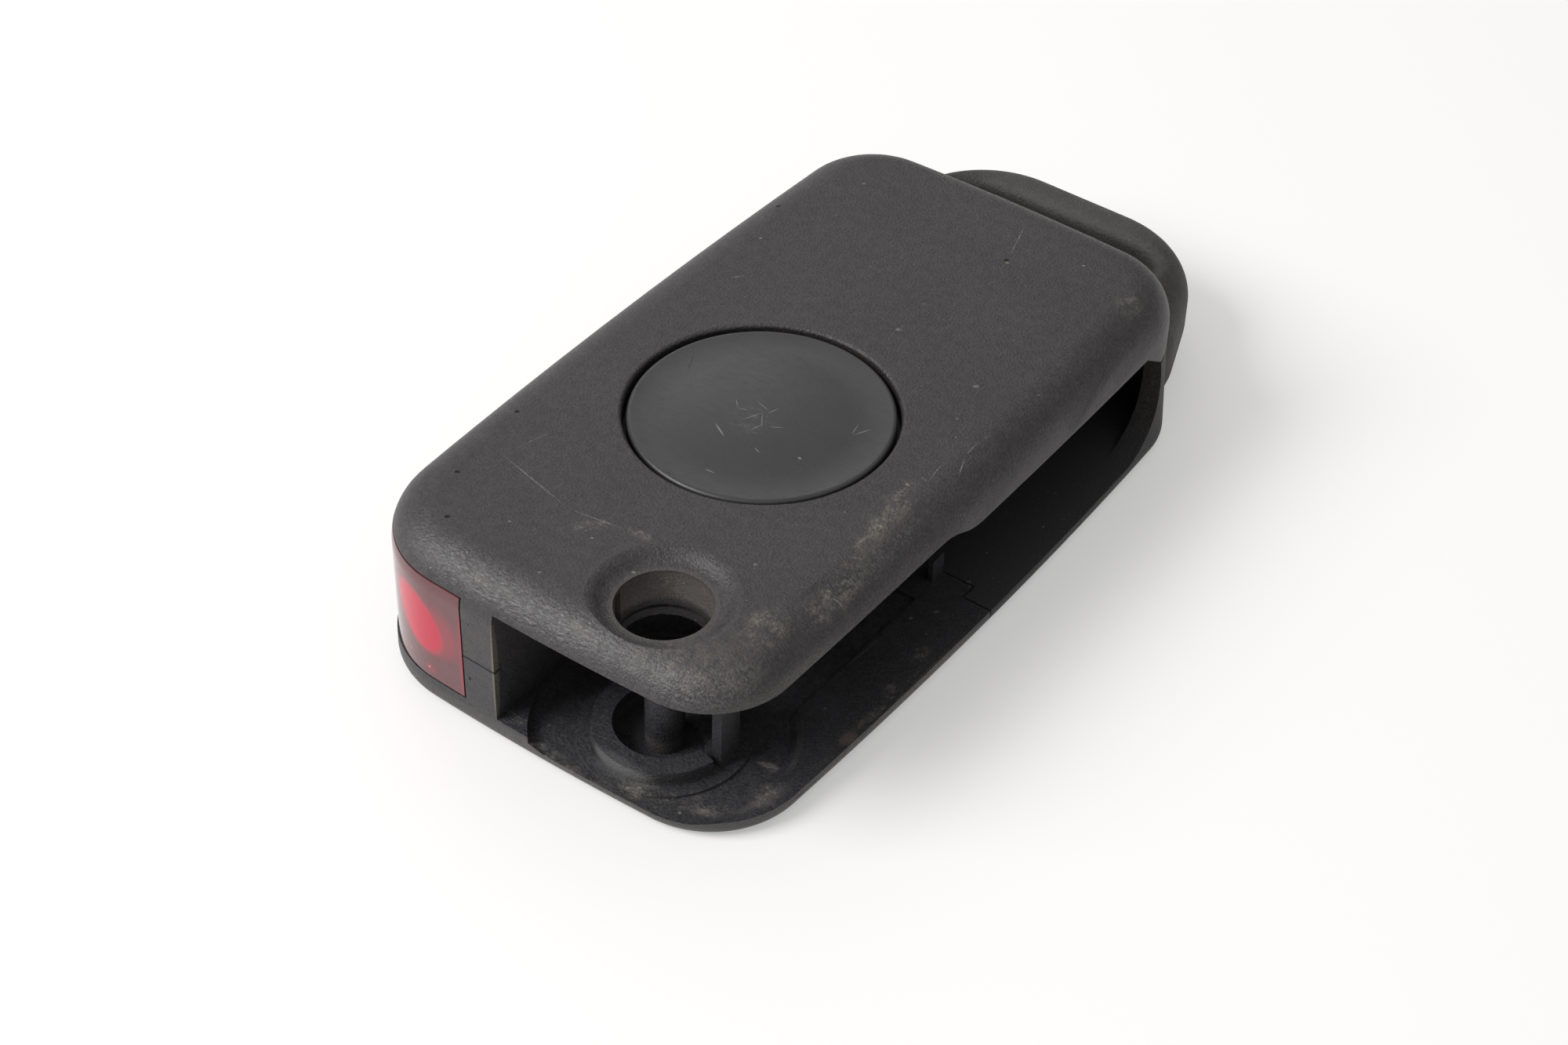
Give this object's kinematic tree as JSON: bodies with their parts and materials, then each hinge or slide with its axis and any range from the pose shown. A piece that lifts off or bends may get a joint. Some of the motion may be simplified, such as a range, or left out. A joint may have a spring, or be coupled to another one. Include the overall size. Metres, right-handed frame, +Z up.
{
  "type": "folding key fob housing with no blade",
  "caption": "Black folding key fob housing with a round push button, a red signal window, an open empty blade bay, a release hole and a key ring loop.",
  "frame": {"origin": "on the resting face, under the middle of the overall length and width", "axes": "+X towards the open side of the blade bay, +Y towards the key ring loop, +Z up through the button"},
  "size_m": [0.0376, 0.076, 0.0154],
  "materials": {
    "housing_plastic": "fine grained black moulding, scuffed at its edges",
    "button_plastic": "smooth satin black",
    "red_window": "clear red, glossy",
    "board_laminate": "green lacquer",
    "switch_case": "matt black",
    "switch_plunger_plastic": "matt ivory",
    "tinned_leads": "tinned",
    "chip_case": "matt black",
    "component_can": "satin",
    "emitter_epoxy": "clear and slightly smoky",
    "indicator_epoxy": "tinted red",
    "cell_steel": "plated, satin",
    "tray_plastic": "matt dark grey",
    "contact_metal": "nickel plated spring strip"
  },
  "bodies": {
    "housing": {"top_shell": "housing_plastic", "bottom_shell": "housing_plastic", "signal_lens": "red_window", "circuit_board": "board_laminate", "push_switch": "switch_case", "switch_legs": "tinned_leads", "remote_chip": "chip_case", "chip_legs": "tinned_leads", "resonator": "component_can", "capacitor": "component_can", "resistors": "chip_case", "transistor": "chip_case", "ir_led": "emitter_epoxy", "ir_led_leads": "tinned_leads", "indicator_led": "indicator_epoxy", "indicator_leads": "tinned_leads", "battery_upper": "cell_steel", "battery_lower": "cell_steel", "battery_tray": "tray_plastic", "contact_negative": "contact_metal", "contact_positive": "contact_metal"},
    "cover": {"battery_cover": "housing_plastic"},
    "button": {"button_pad": "button_plastic"},
    "plunger": {"switch_plunger": "switch_plunger_plastic"}
  },
  "joints": [
    {"name": "cover_slide", "type": "slide", "parent": "housing", "child": "cover", "axis": [0, 1, 0], "range_m": [0, 0.038]},
    {"name": "button_press", "type": "slide", "parent": "housing", "child": "button", "axis": [0, 0, -1], "range_m": [0, 0.0005], "stiffness_N_per_m": 2000},
    {"name": "plunger_press", "type": "slide", "parent": "housing", "child": "plunger", "axis": [0, 0, -1], "range_m": [0, 0.0005]}
  ],
  "couplings": [
    {"joint": "plunger_press", "follows": "button_press", "ratio": 1}
  ]
}
